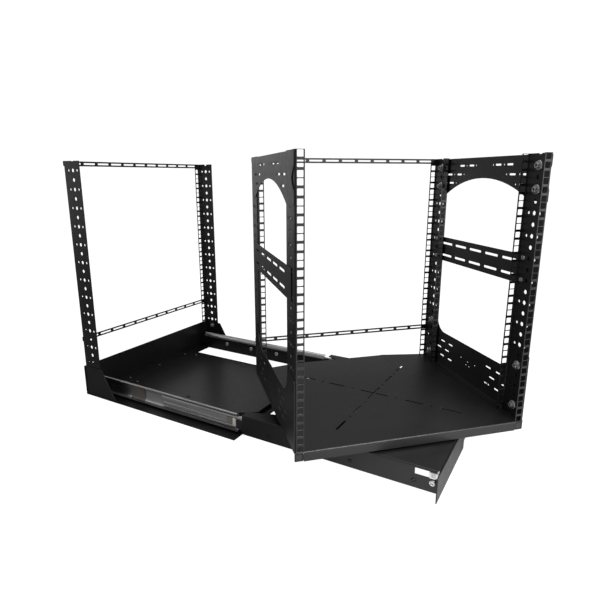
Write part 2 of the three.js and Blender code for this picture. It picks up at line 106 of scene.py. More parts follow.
def new_material(name, metallic, roughness):
    material = bpy.data.materials.new(name)
    material.use_nodes = True
    shader = material.node_tree.nodes["Principled BSDF"]
    shader.inputs["Metallic"].default_value = metallic
    shader.inputs["Roughness"].default_value = roughness
    return material, shader


def noise(material, scale, detail, stretch=(1, 1, 1)):
    """Noise over the piece's own coordinates; scale is in features per metre."""
    tree = material.node_tree
    place = tree.nodes.new("ShaderNodeTexCoord")
    mapping = tree.nodes.new("ShaderNodeMapping")
    mapping.inputs["Scale"].default_value = stretch
    texture = tree.nodes.new("ShaderNodeTexNoise")
    texture.inputs["Scale"].default_value = scale
    texture.inputs["Detail"].default_value = detail
    tree.links.new(place.outputs["Object"], mapping.inputs["Vector"])
    tree.links.new(mapping.outputs["Vector"], texture.inputs["Vector"])
    return texture.outputs["Fac"]


def ramp(material, factor, low, high, low_at=0.35, high_at=0.65):
    tree = material.node_tree
    node = tree.nodes.new("ShaderNodeValToRGB")
    node.color_ramp.elements[0].position = low_at
    node.color_ramp.elements[0].color = (*low, 1)
    node.color_ramp.elements[1].position = high_at
    node.color_ramp.elements[1].color = (*high, 1)
    tree.links.new(factor, node.inputs["Fac"])
    return node.outputs["Color"]


def spread(material, factor, low, high):
    tree = material.node_tree
    node = tree.nodes.new("ShaderNodeMapRange")
    node.inputs["To Min"].default_value = low
    node.inputs["To Max"].default_value = high
    tree.links.new(factor, node.inputs["Value"])
    return node.outputs["Result"]


def bump(material, shader, height, strength, distance):
    tree = material.node_tree
    node = tree.nodes.new("ShaderNodeBump")
    node.inputs["Strength"].default_value = strength
    node.inputs["Distance"].default_value = distance
    tree.links.new(height, node.inputs["Height"])
    tree.links.new(node.outputs["Normal"], shader.inputs["Normal"])


def powder_coat(name, low, high, roughness, specular=0.5):
    """Baked powder: a fine orange-peel skin, faint clouding and uneven gloss."""
    material, shader = new_material(name, 0.0, roughness)
    links = material.node_tree.links
    links.new(ramp(material, noise(material, 22, 4), low, high), shader.inputs["Base Color"])
    gloss = spread(material, noise(material, 70, 3), roughness - 0.05, roughness + 0.07)
    links.new(gloss, shader.inputs["Roughness"])
    shader.inputs["Specular IOR Level"].default_value = specular
    bump(material, shader, noise(material, 1500, 2), 0.22, 0.00012)
    return material


def plated(name, low, high, roughness, stretch):
    """Zinc plate over drawn steel, with draw marks along the piece."""
    material, shader = new_material(name, 1.0, roughness)
    links = material.node_tree.links
    grain = noise(material, 260, 5, stretch)
    links.new(ramp(material, grain, low, high, 0.25, 0.75), shader.inputs["Base Color"])
    gloss = spread(material, noise(material, 35, 3), roughness - 0.06, roughness + 0.1)
    links.new(gloss, shader.inputs["Roughness"])
    bump(material, shader, grain, 0.12, 0.0001)
    return material


def moulded(name, low, high, roughness):
    """Moulded plastic with a fine texture and faint clouding."""
    material, shader = new_material(name, 0.0, roughness)
    links = material.node_tree.links
    links.new(ramp(material, noise(material, 40, 3), low, high), shader.inputs["Base Color"])
    bump(material, shader, noise(material, 900, 3), 0.15, 0.0001)
    return material


BLACK = powder_coat("black_powder_coat", (0.0030, 0.0030, 0.0032), (0.0042, 0.0042, 0.0044), 0.38)
SATIN = powder_coat("front_panel_coat", (0.006, 0.006, 0.0062), (0.008, 0.008, 0.0083), 0.5,
                    specular=0.36)
ZINC = plated("zinc_plate", (0.50, 0.50, 0.51), (0.68, 0.68, 0.68), 0.3, (1, 0.04, 1))
ZINC_SMALL = plated("zinc_fasteners", (0.55, 0.55, 0.57), (0.72, 0.72, 0.73), 0.34, (1, 1, 1))
GREY_STEEL = plated("grey_screws", (0.36, 0.36, 0.37), (0.5, 0.5, 0.51), 0.42, (1, 1, 1))
# Dark steel for screws; on the outer slide cage's balls it also serves as painted shade.
DARK_STEEL = plated("dark_screws", (0.09, 0.09, 0.095), (0.13, 0.13, 0.14), 0.42, (1, 1, 1))
PLASTIC = moulded("black_plastic", (0.012, 0.012, 0.013), (0.018, 0.018, 0.018), 0.55)
RED = moulded("red_plastic", (0.50, 0.012, 0.045), (0.58, 0.02, 0.06), 0.38)
WHITE_PLASTIC = moulded("slide_bumper_plastic", (0.72, 0.70, 0.64), (0.8, 0.78, 0.73), 0.5)
TAN_PLASTIC = moulded("slide_cage_plastic", (0.11, 0.095, 0.083), (0.15, 0.131, 0.115), 0.3)
PALE_TAN = moulded("slide_stop_plastic", (0.21, 0.19, 0.172), (0.27, 0.246, 0.224), 0.3)


# ---- outlines ------------------------------------------------------------------------

def arc(cx, cy, radius, start, end, steps):
    """Points from start to end, in degrees."""
    points = []
    for i in range(steps + 1):
        angle = math.radians(start + (end - start) * i / steps)
        points.append((cx + radius * math.cos(angle), cy + radius * math.sin(angle)))
    return points


def circle(cx, cy, radius, steps=20):
    return arc(cx, cy, radius, 0, 360, steps)[:-1]


def rounded(cx, cy, width, height, radius, steps=4):
    """Rectangle with round corners."""
    x, y = width / 2 - radius, height / 2 - radius
    points = []
    for sx, sy, start in ((1, 1, 0), (-1, 1, 90), (-1, -1, 180), (1, -1, 270)):
        points += arc(cx + sx * x, cy + sy * y, radius, start, start + 90, steps)
    return points


def slot(cx, cy, length, width):
    """Outline with round ends, that long along x."""
    return rounded(cx, cy, length, width, width / 2 - 0.01, 5)


def turned_loop(loop, degrees):
    c, s = math.cos(math.radians(degrees)), math.sin(math.radians(degrees))
    return [(x * c - y * s, x * s + y * c) for x, y in loop]


# ---- meshes --------------------------------------------------------------------------

def counterclockwise(loop):
    area = sum(a[0] * b[1] - b[0] * a[1] for a, b in zip(loop, loop[1:] + loop[:1]))
    return loop if area > 0 else loop[::-1]


def moved_left(loop, amount):
    """The loop with each side moved by amount to the left of its direction."""
    moved = []
    for i, point in enumerate(loop):
        here = Vector(point)
        before = (here - Vector(loop[i - 1])).normalized()
        after = (Vector(loop[(i + 1) % len(loop)]) - here).normalized()
        across = Vector((-before.y - after.y, before.x + after.x)).normalized()
        share = max(across.dot(Vector((-before.y, before.x))), MIN_CORNER)
        moved.append(here + across * amount / share)
    return moved


def sheet(outline, holes, thick, edge=0.25):
    """Plate on the XY plane from z = 0 to thick, with holes and broken edges."""
    bm = bmesh.new()
    flat, rings, owners = [], [], []
    for loop in (counterclockwise(outline), *(counterclockwise(hole)[::-1] for hole in holes)):
        inner = moved_left(loop, edge)
        owners.append(list(range(len(flat), len(flat) + len(loop))))
        flat += inner
        levels = ((inner, 0), (loop, edge), (loop, thick - edge), (inner, thick))
        rings.append([[bm.verts.new((x, y, z)) for x, y in points] for points, z in levels])
    for levels in rings:
        for low, high in zip(levels, levels[1:]):
            for i in range(len(low)):
                bm.faces.new((low[i - 1], low[i], high[i], high[i - 1]))
    bottom = [vertex for levels in rings for vertex in levels[0]]
    top = [vertex for levels in rings for vertex in levels[3]]
    triangles, origins = delaunay_2d_cdt(flat, [], owners, 2, 1e-5)[2:4]
    for corners in triangles:
        a, b, c = (origins[corner][0] for corner in corners)
        bm.faces.new((top[a], top[b], top[c]))
        bm.faces.new((bottom[c], bottom[b], bottom[a]))
    bmesh.ops.recalc_face_normals(bm, faces=bm.faces)
    return bm


def bend(bm, line, reach=None):
    """Bends all that lies past x = 0 of the axes in line square towards their z. With reach,
    only what lies within that distance of y = 0 is bent."""
    bm.transform(line.inverted())
    for i in range(BEND_STEPS + 1):
        geometry = bm.verts[:] + bm.edges[:] + bm.faces[:]
        bmesh.ops.bisect_plane(bm, geom=geometry, dist=1e-4,
                               plane_co=(QUARTER * i / BEND_STEPS, 0, 0), plane_no=(1, 0, 0))
    for vertex in bm.verts:
        x, y, z = vertex.co
        if x <= 0 or (reach and abs(y) > reach + 0.01):
            continue
        along = min(x, QUARTER)
        heading = along / BEND
        c, s = math.cos(heading), math.sin(heading)
        rest = x - along
        vertex.co = (BEND * s + rest * c - z * s, y, BEND * (1 - c) + rest * s + z * c)
    bm.transform(line)


def block(low, high, edge=0.4):
    """A box with broken edges."""
    bm = bmesh.new()
    bmesh.ops.create_cube(bm, size=1)
    size = Vector(high) - Vector(low)
    bmesh.ops.scale(bm, vec=size, verts=bm.verts)
    bmesh.ops.translate(bm, vec=(Vector(low) + Vector(high)) / 2, verts=bm.verts)
    bmesh.ops.bevel(bm, geom=bm.edges[:], offset=edge, segments=2, affect="EDGES", profile=0.5)
    return bm


def turning(profile, segments=48):
    """A piece turned about z from its [radius, height] points, which start and end on the axis
    or close on themselves."""
    bm = bmesh.new()
    vertices = [bm.verts.new((radius, 0, height)) for radius, height in profile]
    edges = [bm.edges.new(pair) for pair in zip(vertices, vertices[1:])]
    bmesh.ops.spin(bm, geom=vertices + edges, angle=2 * math.pi, steps=segments, axis=(0, 0, 1),
                   cent=(0, 0, 0), use_merge=True)
    bmesh.ops.remove_doubles(bm, verts=bm.verts, dist=0.001)
    bmesh.ops.recalc_face_normals(bm, faces=bm.faces)
    return bm


def refined(node, edge=0.35):
    """The CAD node's own shape, in millimetres, with its sharp edges broken."""
    bm = bmesh.new()
    bm.from_mesh(frame["nodes"][node].data)
    bm.transform(Matrix.Scale(1 / MM, 4))
    bmesh.ops.remove_doubles(bm, verts=bm.verts, dist=0.001)
    bmesh.ops.dissolve_limit(bm, angle_limit=math.radians(1), verts=bm.verts, edges=bm.edges)
    sharp = [e for e in bm.edges if e.is_manifold and e.calc_face_angle(0) > math.radians(25)]
    bmesh.ops.bevel(bm, geom=sharp, offset=edge, segments=2, affect="EDGES", profile=0.5,
                    clamp_overlap=True)
    return bm


def merged(parts):
    """One bmesh from several (bmesh, matrix) pairs."""
    total = bmesh.new()
    for bm, matrix in parts:
        if matrix.determinant() < 0:
            bmesh.ops.reverse_faces(bm, faces=bm.faces)
        bm.transform(matrix)
        mesh = bpy.data.meshes.new("part")
        bm.to_mesh(mesh)
        bm.free()
        total.from_mesh(mesh)
        bpy.data.meshes.remove(mesh)
    return total


def piece(name, bm, matrix, body, material, replaces=()):
    """Finishes a mesh as an object that rides on a body."""
    if matrix.determinant() < 0:
        bmesh.ops.reverse_faces(bm, faces=bm.faces)
    bm.transform(Matrix.Scale(MM, 4) @ matrix)
    mesh = bpy.data.meshes.new(name)
    bm.to_mesh(mesh)
    bm.free()
    mesh.shade_smooth()
    mesh.set_sharp_from_angle(angle=SMOOTH_BELOW)
    mesh.materials.append(material)
    made = bpy.data.objects.new(name, mesh)
    bpy.context.scene.collection.objects.link(made)
    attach(made, body)
    if replaces:
        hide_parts(*replaces)
    return made


# Names of the record's material slots.
STEEL = "zinc_plated_steel"
COAT = "black_powder_coat"


# ---- fasteners -----------------------------------------------------------------------

def socket_screw(radius, height, socket, washer=0.0):
    """Round head standing on z = 0, with a hexagon socket and, if asked, a washer under it."""
    floor = height * 0.45
    profile = [(0, floor), (socket, floor), (socket, height - 0.3), (socket + 0.3, height)]
    profile += [(radius * 0.72, height), (radius * 0.93, height * 0.82), (radius, height * 0.5)]
    if washer:
        profile += [(radius, 1.4), (washer - 0.3, 1.4), (washer, 1.1), (washer, 0), (0, 0)]
    else:
        profile += [(radius, 0), (0, 0)]
    return turning(profile, 36)


def washer_bolt():
    """Domed washer under a cap head with a hexagon socket, standing on z = 0."""
    washer = turning([(0, 2.6), (6.5, 2.6), (8.9, 1.9), (9.4, 1.2), (9.4, 0), (0, 0)], 40)
    head = turning([(0, 3.6), (2.6, 3.6), (2.6, 7.2), (2.9, 7.5), (4.9, 7.5), (5.5, 6.9),
                    (5.6, 2.4), (0, 2.4)], 40)
    return merged([(washer, WORLD), (head, WORLD)])


# ---- posts ---------------------------------------------------------------------------

RAIL_OUT = node_box("post_front_right", TURNED)[1].x
HOLE_COLUMN = (MOUNTS["rack_face_right"] - MOUNTS["rack_face_left"]).length / 2


def post_sheet(depth, flange, low, high, both, hole_line):
    """Flat pattern of a post along x, folded to a C, or to an L with only its rear flange when
    both is false. Afterwards x runs across the rack towards its outside, y to the rear, z up,
    with the origin at the outer front corner. The web's holes run hole_line from its rear."""
    lead = flange - BEND + QUARTER
    web = depth - 2 * BEND if both else depth - BEND
    middle = lead + hole_line - BEND
    total = lead + web
    first_column = flange - (RAIL_OUT - HOLE_COLUMN)
    columns = [first_column]
    if both:
        total += lead
        columns.append(total - first_column)
    holes = []
    for unit in range(UNITS):
        top = high - unit * UNIT
        centre = top - UNIT / 2
        for drop in UNIT_HOLES:
            if top - drop - SQUARE / 2 > low:
                holes += [rounded(x, top - drop, SQUARE, SQUARE, 0.9, 2) for x in columns]
        if centre - WEB_HOLE > low:
            holes.append(circle(middle, centre, WEB_HOLE / 2))
            for side in (-1, 1):
                holes.append(circle(middle + side * PILOT_OFFSET, centre, WEB_PILOT / 2, 16))
        if unit and top - WEB_HOLE > low:
            holes.append(circle(middle, top, WEB_HOLE / 2))
    notch = arc(middle, high, WEB_HOLE / 2, 0, -180, 8)
    bm = sheet([(0, low), (total, low), (total, high), *notch, (0, high)], holes, SHEET, 0.2)
    bend(bm, axes_at((lead, 0, 0), (-1, 0, 0), (0, 0, 1)))
    if both:
        bend(bm, axes_at((total - lead, 0, 0), (1, 0, 0), (0, 0, 1)))
    bm.transform(axes_at((0, depth + lead - BEND, 0), (0, -1, 0), (-1, 0, 0)))
    return bm


def make_posts():
    """Four posts of the turned frame, and the two fixed ones at the rear of the base."""
    low, high = node_box("post_rear_right", TURNED)
    hole_line = (high.y - low.y) / 2
    for side, mirror in SIDES:
        for end in ("front", "rear"):
            node = f"post_{end}_{side}"
            low, high = node_box(f"post_{end}_right", TURNED)
            bm = post_sheet(high.y - low.y, high.x - low.x, low.z, high.z, True, hole_line)
            place = TURNED @ mirror @ Matrix.Translation((high.x, low.y, 0))
            piece(f"{node}_pressing", bm, place, "frame", BLACK, [node])
        node = f"fixed_post_{side}"
        low, high = node_box("fixed_post_right")
        bm = post_sheet(high.y - low.y, high.x - low.x, low.z, high.z, False, hole_line)
        place = mirror @ Matrix.Translation((high.x, low.y, 0))
        piece(f"{node}_pressing", bm, place, "base", BLACK, [node])


make_posts()


# ---- turned frame --------------------------------------------------------------------

def facing_in(space, mirror, x, y, z):
    """Axes on the inside of a right-hand web, with z towards the middle of the rack."""
    return space @ mirror @ axes_at((x, y, z), (0, -1, 0), (-1, 0, 0))


def make_cross_bar(node, space, body):
    low, high = node_box(node, space)
    pitch, length, margin = 42, 34, 3.9
    middle = (low.z + high.z) / 2
    height = high.z - low.z - 2 * margin
    slots = [rounded(i * pitch, middle, length, height, 1.8, 3) for i in range(-5, 6)]
    outline = rounded(0, middle, high.x - low.x, high.z - low.z, 1.2, 2)
    bm = sheet(outline, slots, high.y - low.y)
    place = space @ axes_at((0, high.y, 0), (1, 0, 0), (0, -1, 0))
    piece(f"{node}_strip", bm, place, body, BLACK, [node])


def side_sheet(outline, holes, inside, thick):
    """Plate with its inner face at x = inside; the outline is drawn as (y, z)."""
    bm = sheet(outline, holes, thick)
    bm.transform(axes_at((inside, 0, 0), (0, 1, 0), (1, 0, 0)))
    return bm


def slot_rows(rows, length, width, top):
    """Slots on both sides of the middle. A row is its drop, where its slots start, and where
    its small round holes are."""
    holes = []
    for drop, starts, rounds in rows:
        for side in (-1, 1):
            for start in starts:
                holes.append(slot(side * (start + length / 2), top - drop, length, width))
            for y in rounds:
                holes.append(circle(side * y, top - drop, 1.8, 12))
    return holes


def top_panel(low, high, top):
    """Arched panel, with a shallow hollow down its front edge."""
    radius = 300
    crown = top - 46.8
    hollow_deep, hollow_drop, hollow_long = 14, 20.5, 46
    half = math.degrees(math.acos((low.z - crown + radius) / radius))
    arch = arc(0, crown - radius, radius, 90 + half, 90 - half, 36)
    notch = []
    for i in range(13):
        t = i / 12
        notch.append((low.y + hollow_deep * math.sin(math.pi * t) ** 2,
                      high.z - hollow_drop - hollow_long * t))
    outline = [(high.y, low.z), *arc(high.y - 4, high.z - 4, 4, 0, 90, 4)]
    outline += [*arc(low.y + 3, high.z - 3, 3, 90, 180, 4), *notch, (low.y, low.z), *arch]
    rows = ((18.8, (39, 77), (31, 68)), (38.6, (87, 128), (78, 118.5)), (58.5, (119,), (109,)))
    holes = slot_rows(rows, 19.5, 3.9, top)
    return side_sheet(outline, holes, low.x, high.x - low.x)


def middle_rail(low, high, top):
    """Flat rail with two rows of long slots, a little to the rear of the middle."""
    pitch, centre, length, width = 60.2, 7.9, 45.5, 5.2
    holes = []
    for i in range(-2, 3):
        for drop in (208.8, 239):
            holes.append(slot(centre + i * pitch, top - drop, length, width))
    outline = rounded((low.y + high.y) / 2, (low.z + high.z) / 2, high.y - low.y, high.z - low.z,
                      3)
    return side_sheet(outline, holes, low.x, high.x - low.x)


def bottom_panel(low, high, top):
    """Low panel with raised corners, and a foot folded in under it between the posts."""
    foot_half, foot_wide = 138, high.x - low.x
    dip = top - 441
    dip_half, curve_wide, curve_tall, raised_from = 113, 36, 35, 165
    shoulder = []
    for i in range(11):
        angle = math.pi / 2 * i / 10
        shoulder.append((dip_half + curve_wide * math.sin(angle),
                         dip + curve_tall * (1 - math.cos(angle))))
    shoulder.append((raised_from, high.z))
    front, rear = low.y, high.y
    outline = [(-rear, low.z), (-foot_half - 1, low.z), (-foot_half - 1, low.z + BEND),
               (-foot_half, low.z + BEND), (-foot_half, low.z + 2 * BEND - QUARTER - foot_wide),
               (foot_half, low.z + 2 * BEND - QUARTER - foot_wide), (foot_half, low.z + BEND),
               (foot_half + 1, low.z + BEND), (foot_half + 1, low.z), (-front, low.z),
               *arc(-front - 4, high.z - 4, 4, 0, 90, 4), *reversed(shoulder)]
    outline += [(-y, z) for y, z in shoulder]
    outline += arc(-rear + 4, high.z - 4, 4, 90, 180, 4)
    rows = ((464, (70, 107), ()), (484, (85.5, 122.5), ()), (503.7, (69.5, 106.5), ()))
    holes = slot_rows(rows, 18.5, 3.6, top)
    for y, drop in ((-29, 479), (29, 479), (0, 481), (-6.5, 490.5), (6.5, 490.5)):
        holes.append(circle(y, top - drop, 1.7, 12))
    bm = sheet(outline, holes, THIN_SHEET)
    bend(bm, axes_at((0, low.z + BEND, 0), (0, -1, 0), (0, 0, 1)), foot_half)
    bm.transform(axes_at((high.x, 0, 0), (0, -1, 0), (-1, 0, 0)))
    return bm


def make_side_panels():
    top = node_box("post_front_right", TURNED)[1].z
    for side, mirror in SIDES:
        for stem, build in (("side_panel_top", top_panel), ("side_rail_middle", middle_rail),
                            ("side_panel_bottom", bottom_panel)):
            low, high = node_box(f"{stem}_right", TURNED)
            bm = build(low, high, top)
            piece(f"{stem}_{side}_pressing", bm, TURNED @ mirror, "frame", BLACK,
                  [f"{stem}_{side}"])


def make_frame_fasteners():
    """Washer-head bolts of the end panels and smaller screws of the middle rail."""
    low, high = node_box("post_front_right", TURNED)
    column = (low.y + high.y) / 2
    web = high.x - SHEET
    bolted_units, rail_screw_drops = (0, 1, 9, 11), (200, 244.5)
    for side, mirror in SIDES:
        bolts = []
        screws = []
        for y in (column, -column):
            for unit in bolted_units:
                z = high.z - UNIT / 2 - unit * UNIT
                bolts.append((washer_bolt(), facing_in(WORLD, WORLD, web, y, z)))
        for y in (column + PILOT_OFFSET, -column):
            for drop in rail_screw_drops:
                head = socket_screw(4.6, 2.8, 1.8)
                screws.append((head, facing_in(WORLD, WORLD, web, y, high.z - drop)))
        piece(f"frame_bolts_{side}", merged(bolts), TURNED @ mirror, "frame", GREY_STEEL)
        piece(f"rail_screws_{side}", merged(screws), TURNED @ mirror, "frame", GREY_STEEL)


def cross(arm, half):
    """Outline of a cross of two slots, each arm that long and half wide on each side."""
    points = []
    for quarter in range(4):
        points += turned_loop([(half, -half), (arm, -half), (arm, half)], 90 * quarter)
    return points


def make_deck():
    """Deck with its slots, a deep lip folded down in front, and low lips at its rear and sides."""
    low, high = node_box("deck", TURNED)
    lip_half, cut, rear_half = 226, 24, 119
    deep, inset, strip_gap = 10, 6, 20
    cross_arm, cross_slot, slot_wide, hole_radius = 34, 4.2, 4.4, 2.6
    front, rear = -low.y, -high.y
    lip = front + QUARTER - 2 * BEND + high.z - low.z
    rear_lip = rear - QUARTER + 2 * BEND - deep
    outline = [
        (-high.x, rear + cut), (-rear_half, rear), (-rear_half + 1, rear),
        (-rear_half + 1, rear_lip), (rear_half - 1, rear_lip), (rear_half - 1, rear),
        (rear_half, rear), (high.x, rear + cut), (high.x, front), (lip_half + 1, front),
        (lip_half + 1, front - BEND), (lip_half, front - BEND), (lip_half, lip),
        (-lip_half, lip), (-lip_half, front - BEND), (-lip_half - 1, front - BEND),
        (-lip_half - 1, front), (-high.x, front),
    ]
    holes = [turned_loop(cross(cross_arm, cross_slot / 2), 45)]
    for angle in (45, 135, 225, 315):
        for start, end in ((75, 117), (155, 200)):
            holes.append(turned_loop(slot((start + end) / 2, 0, end - start, slot_wide), angle))
        for radius in (54, 134):
            holes.append(turned_loop(circle(radius, 0, hole_radius, 12), angle))
    bm = sheet(outline, holes, SHEET)
    bend(bm, axes_at((0, front - BEND, 0), (0, 1, 0), (0, 0, 1)), lip_half)
    bend(bm, axes_at((0, rear + BEND, 0), (0, -1, 0), (0, 0, 1)), rear_half - 1)
    bm.transform(axes_at((0, 0, high.z), (1, 0, 0), (0, 0, -1)))
    parts = [(bm, WORLD)]
    for side in (-1, 1):
        x = side * (high.x - inset - SHEET / 2)
        strip = block((x - SHEET / 2, low.y + strip_gap, high.z - deep),
                      (x + SHEET / 2, high.y - cut - strip_gap, high.z - SHEET))
        parts.append((strip, WORLD))
    piece("deck_pressing", merged(parts), TURNED, "frame", BLACK, ["deck"])


def make_lip_caps():
    """Dished square plugs in the ends of the deck's front lip."""
    low, high = node_box("deck_lip_cap_right", TURNED)
    wide, tall, deep = high.x - low.x, high.z - low.z, high.y - low.y
    rim_wide, overlap, corner = 2, 0.4, 1.4
    for side, mirror in SIDES:
        centre = ((low.x + high.x) / 2, low.y, (low.z + high.z) / 2)
        inner_wide, inner_tall = wide - 2 * rim_wide, tall - 2 * rim_wide
        well = rounded(0, 0, inner_wide, inner_tall, corner)
        rim = sheet(rounded(0, 0, wide, tall, rim_wide), [well], deep, 0.3)
        pan = sheet(rounded(0, 0, inner_wide + overlap, inner_tall + overlap, corner), [],
                    deep / 2, 0.2)
        place = TURNED @ mirror @ axes_at(centre, (-1, 0, 0), (0, 1, 0))
        name = f"deck_lip_cap_{side}"
        piece(f"{name}_rim", rim, place, "frame", SATIN, [name])
        piece(f"{name}_plug", pan, place @ Matrix.Translation((0, 0, deep / 2)), "frame", PLASTIC,
              [name])


for bar in ("frame_cross_bar_top", "frame_cross_bar_lower"):
    make_cross_bar(bar, TURNED, "frame")
make_lip_caps()
make_side_panels()
make_frame_fasteners()
make_deck()


# ---- base ----------------------------------------------------------------------------

def make_base_rails():
    """Angle rails, with the screws that hold the slides to them."""
    low, high = node_box("base_rail_right")
    screws_y, screws_z = (124, 27, -70), 26.5
    fold = low.x + BEND
    height = high.z - low.z
    for side, mirror in SIDES:
        edge = fold - QUARTER - (height - BEND)
        outline = [(edge, low.y), (high.x, low.y), (high.x, high.y), (edge, high.y)]
        bm = sheet(outline, [], SHEET)
        bend(bm, axes_at((fold, 0, 0), (-1, 0, 0), (0, 0, 1)))
        piece(f"base_rail_{side}_pressing", bm, mirror, "base", BLACK, [f"base_rail_{side}"])
        heads = []
        for y in screws_y:
            heads.append((socket_screw(6, 3.6, 2.2), facing_in(WORLD, WORLD, low.x, y, screws_z)))
        piece(f"slide_screws_{side}", merged(heads), mirror, "base", ZINC_SMALL)


def make_rear_wall():
    """Wall with a strip folded in under it between the rails."""
    low, high = node_box("base_rear_wall")
    half, strip_half = high.x, node_box("base_rail_right")[0].x - 0.3
    strip = BEND - QUARTER - (high.y - low.y - BEND)
    outline = [(-half, 0), (-strip_half - 1, 0), (-strip_half - 1, BEND), (-strip_half, BEND),
               (-strip_half, strip), (strip_half, strip), (strip_half, BEND),
               (strip_half + 1, BEND), (strip_half + 1, 0), (half, 0),
               *arc(half - 2, high.z - 2, 2, 0, 90, 3), *arc(2 - half, high.z - 2, 2, 90, 180, 3)]
    bm = sheet(outline, [], SHEET)
    bend(bm, axes_at((0, BEND, 0), (0, -1, 0), (0, 0, 1)), strip_half)
    place = axes_at((0, high.y, 0), (1, 0, 0), (0, -1, 0))
    piece("base_rear_wall_pressing", bm, place, "base", BLACK, ["base_rear_wall"])


def make_base_screws():
    """Screws of the floor plate, and the bolts in the feet of the fixed posts."""
    top = node_box("base_floor_plate")[0].z + SHEET
    rear_row, side_column = 227.5, 124
    heads = [(x, rear_row) for x in (-114, 0, 114)]
    heads += [(side * side_column, y) for side in (-1, 1) for y in (-3.5, 188.5)]
    parts = []
    for x, y in heads:
        parts.append((socket_screw(4.4, 2.6, 1.7), Matrix.Translation((x, y, top))))
    piece("floor_screws", merged(parts), WORLD, "base", DARK_STEEL)
    for side, mirror in SIDES:
        low, high = node_box("fixed_post_bolt_right")
        place = facing_in(WORLD, mirror, high.x, (low.y + high.y) / 2, (low.z + high.z) / 2)
        head = socket_screw(5.2, 5.4, 2.6, 8)
        piece(f"fixed_post_bolt_{side}_machined", head, place, "base", GREY_STEEL,
              [f"fixed_post_bolt_{side}"])


make_base_rails()
make_rear_wall()
make_base_screws()
for bar in ("fixed_cross_bar_top", "fixed_cross_bar_lower"):
    make_cross_bar(bar, WORLD, "base")


# ---- slides --------------------------------------------------------------------------

CAGE_END = 50                           # length of the plastic end of a ball cage
CAGE_BALLS, BALL_PITCH, BALL_RADIUS = 26, 12, 1.1


def strip_outline(path, thick):
    """Closed outline of a strip of that thickness along a path."""
    left, right = [], []
    for i, point in enumerate(path):
        before = Vector(path[max(i - 1, 0)])
        after = Vector(path[min(i + 1, len(path) - 1)])
        here = Vector(point)
        first = (here - before).normalized() if i else (after - here).normalized()
        second = (after - here).normalized() if i < len(path) - 1 else first
        across = (Vector((-first.y, first.x)) + Vector((-second.y, second.x))).normalized()
        share = max(across.dot(Vector((-first.y, first.x))), MIN_CORNER)
        offset = across * (thick / 2 / share)
        left.append(tuple(here + offset))
        right.append(tuple(here - offset))
    return left + right[::-1]


def both_halves(half):
    """Section path from its upper half, which starts at the tip and ends on the centre line."""
    return half + [(x, -z) for x, z in reversed(half)]


def ball_rows(front, x, z):
    """The upper and lower row of balls in a cage that starts at y = front."""
    parts = []
    for i in range(CAGE_BALLS):
        for side in (-1, 1):
            ball = bmesh.new()
            bmesh.ops.create_icosphere(ball, subdivisions=2, radius=BALL_RADIUS)
            parts.append((ball, Matrix.Translation((x, front + (i + 1) * BALL_PITCH, side * z))))
    return merged(parts)


# Half section of each member as points (x from the slide's back, z from its middle), and its
# sheet's thickness.
SLIDE_SECTIONS = {
    "slide_channel": ([(11.1, 20.4), (10.9, 21.1), (9.4, 21.75), (7.2, 21.2), (4.9, 19.7),
                       (3.1, 17.1), (2, 14), (1.3, 10), (0.85, 5), (0.75, 0.5)], 1.4),
    "slide_outer_cage": ([(8.8, 18.1), (6.6, 18), (5.4, 17.2), (4.3, 15.6), (3.4, 12.5), (2.8, 8),
                          (2.55, 4), (2.5, 0.5)], 0.7),
    "slide_middle": ([(10.9, 11.9), (10.6, 13.1), (9.4, 14.2), (7.6, 14.8), (6.4, 14.8),
                      (5.2, 14.3), (4.75, 13.2), (4.75, 10), (5.9, 8.8), (5.9, 4.6), (4.75, 3.4),
                      (4.75, 0.5)], 1.4),
    "slide_inner_cage": ([(9.3, 12.2), (7.7, 12.2), (7.1, 11.5), (7.1, 8.8), (8, 7.9), (8, 5.2),
                          (7.1, 4.3), (7.1, 0.5)], 0.7),
    "slide_inner": ([(8.6, 10.7), (10.7, 10.7), (11.6, 10.3), (11.95, 9.3), (11.95, 0.5)], 1.4),
}
SLIDE_BODIES = {"slide_channel": "base", "slide_outer_cage": "slide_outer_cages",
                "slide_middle": "slide_middles", "slide_inner_cage": "slide_inner_cages",
                "slide_inner": "carriage"}


def slide_strip(path, thick, front, rear, back, middle):
    """Rolled strip with that section, from y = front to rear."""
    bm = sheet(strip_outline(path, thick), [], rear - front, 0.12)
    bm.transform(axes_at((back, rear, middle), (1, 0, 0), (0, -1, 0)))
    return bm


def make_slides():
    back = node_box("slide_channel_right")[0].x
    for stem, body in SLIDE_BODIES.items():
        low, high = node_box(f"{stem}_right")
        middle = (low.z + high.z) / 2
        inside = Matrix.Translation((back, 0, middle))
        half, thick = SLIDE_SECTIONS[stem]
        whole = both_halves(half)
        for side, mirror in SIDES:
            name = f"{stem}_{side}"
            if stem == "slide_outer_cage":
                split = high.y - CAGE_END
                legs = [half[:5], whole[-5:]]
                strips = [(slide_strip(leg, thick, low.y, split + 2, back, middle), WORLD)
                          for leg in legs]
                piece(f"{name}_rolled", merged(strips), mirror, body, ZINC, [name])
                strip = slide_strip(whole, thick * 1.1, split, high.y, back, middle)
                piece(f"{name}_end", strip, mirror, body, TAN_PLASTIC)
                # The outer cage's balls take the dark screw steel as painted shade, so the gap
                # between channel and middle member reads dark; the inner cage's balls are plain
                # zinc.
                piece(f"{name}_balls", ball_rows(low.y, 7.4, 18.1), mirror @ inside, body,
                      DARK_STEEL)
            else:
                strip = slide_strip(whole, thick, low.y, high.y, back, middle)
                piece(f"{name}_rolled", strip, mirror, body, ZINC, [name])
            if stem == "slide_inner_cage":
                piece(f"{name}_balls", ball_rows(low.y, 8.5, 12.8), mirror @ inside, body,
                      ZINC_SMALL)
            if stem == "slide_inner":
                make_slide_stop(side, mirror @ inside, body, high.y)


